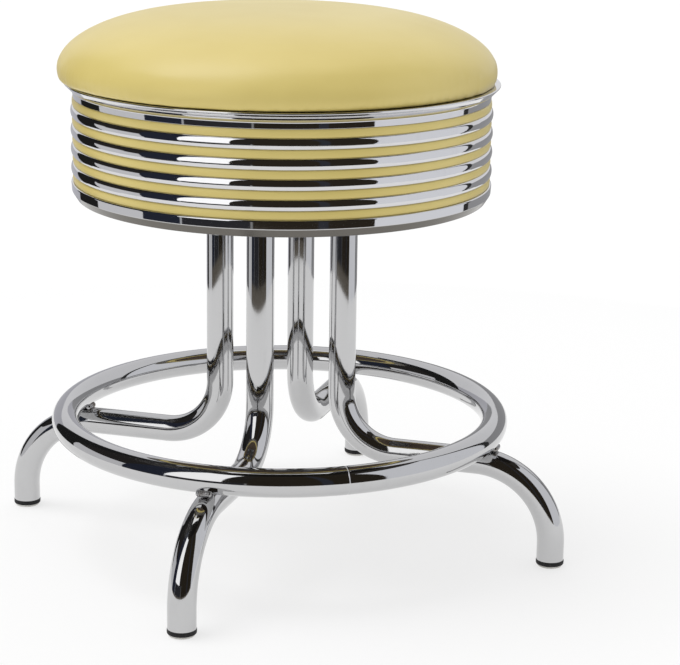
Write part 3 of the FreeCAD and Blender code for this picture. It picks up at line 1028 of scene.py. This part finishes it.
# Cards stand round the stool and hang over it, out of the picture, for the chrome to mirror.
# Each is seen by reflections alone. The ceiling is dark in front, bright at the back, and has one soft box.
# A wall card's row has its two turns from the camera in degrees, its two heights and its light.
card_radius = 1.05
card_turn = 4
floor_gap = 0.001
ceiling_height = 2.2
ceiling_half_width = 1.2
ceiling_step = 0.01
skirt_height = 0.03
skirt_gap = 0.01
ceiling_light = (0.012, 0.011, 0.010)
box_middle = 0.13
box_half_depth = 0.35
box_half_width = 0.5
box_light = (1.2, 1.2, 1.19)
rear_light = (0.80, 0.80, 0.82)
walls = (
    (-180, -134, 0.0, 0.42, (0.52, 0.52, 0.56)),
    (-180, -134, 0.42, ceiling_height, (0.84, 0.84, 0.86)),
    (-134, -110, 0.0, ceiling_height, (0.016, 0.016, 0.016)),
    (-110, -74, 0.0, 0.40, (0.70, 0.70, 0.72)),
    (-110, -74, 0.40, ceiling_height, (0.024, 0.022, 0.021)),
    (-74, -51.6, 0.0, ceiling_height, (0.021, 0.025, 0.040)),
    (-51.6, -50.4, 0.0, 0.22, (0.41, 0.42, 0.44)),
    (-51.6, -25.0, 0.22, 1.9, (1.45, 1.45, 1.45)),
    (-50.4, -15.1, 0.0, 0.22, (0.028, 0.028, 0.033)),
    (-15.1, -14.0, 0.0, 0.22, (0.26, 0.26, 0.26)),
    (-25.0, -14.0, 0.22, ceiling_height, (0.025, 0.022, 0.019)),
    (-74.0, 47.0, 0.0, skirt_height, (0.13, 0.115, 0.095)),
    (-14.0, 18.0, 0.0, ceiling_height, (0.026, 0.021, 0.015)),
    (18.0, 23.0, 0.0, ceiling_height, (0.033, 0.035, 0.045)),
    (23.0, 47.0, 0.0, ceiling_height, (0.026, 0.021, 0.015)),
    (47.0, 109.0, 0.0, 1.45, (0.85, 0.86, 0.90)),
    (47.0, 109.0, 1.45, ceiling_height, (0.035, 0.032, 0.028)),
    (109.0, 114.0, 0.0, ceiling_height, (0.035, 0.035, 0.035)),
    (114.0, 180.0, 0.0, 0.42, (0.34, 0.34, 0.35)),
    (114.0, 180.0, 0.42, ceiling_height, (0.84, 0.84, 0.86)),
)


def card(name, corners, faces, light):
    finish = Finish(name)
    glow = finish.node("ShaderNodeEmission", {}, {"Color": light + (1,), "Strength": 1.0})
    finish.tree.links.new(glow.socket, finish.tree.nodes["Material Output"].inputs["Surface"])
    mesh = bpy.data.meshes.new(name)
    mesh.from_pydata(corners, [], faces)
    mesh.materials.append(finish.material)
    made = bpy.data.objects.new(name, mesh)
    bpy.context.scene.collection.objects.link(made)
    made.visible_camera = False
    made.visible_diffuse = False
    made.visible_shadow = False
    made.visible_transmission = False


for number, (start, end, low, high, light) in enumerate(walls):
    edge = []
    steps = max(1, round((end - start) / card_turn))
    radius = card_radius - (skirt_gap if high == skirt_height else 0.0)
    for step in range(steps + 1):
        turn = eye_turn + math.radians(start + (end - start) * step / steps)
        edge.append((radius * math.sin(turn), -radius * math.cos(turn)))
    corners = [(x, y, max(low, floor_gap)) for x, y in edge] + [(x, y, high) for x, y in edge]
    faces = [(k, k + 1, k + steps + 2, k + steps + 1) for k in range(steps)]
    card("wall_card_%d" % number, corners, faces, light)


def overhead(name, half_width, near, far, height, light):
    # A level card: near and far are its edges, measured from the axis away from the camera.
    across = Vector((math.cos(eye_turn), math.sin(eye_turn), 0))
    away = Vector((-math.sin(eye_turn), math.cos(eye_turn), 0))
    up = Vector((0, 0, height))
    corners = [up + across * x + away * y for x, y in
               ((-half_width, near), (half_width, near), (half_width, far), (-half_width, far))]
    card(name, [tuple(corner) for corner in corners], [(0, 1, 2, 3)], light)


overhead("ceiling_card", ceiling_half_width, -ceiling_half_width, ceiling_half_width, ceiling_height,
         ceiling_light)
overhead("rear_ceiling", ceiling_half_width, box_middle + box_half_depth, ceiling_half_width,
         ceiling_height - ceiling_step, rear_light)
overhead("soft_box", box_half_width, box_middle - box_half_depth, box_middle + box_half_depth,
         ceiling_height - 2 * ceiling_step, box_light)
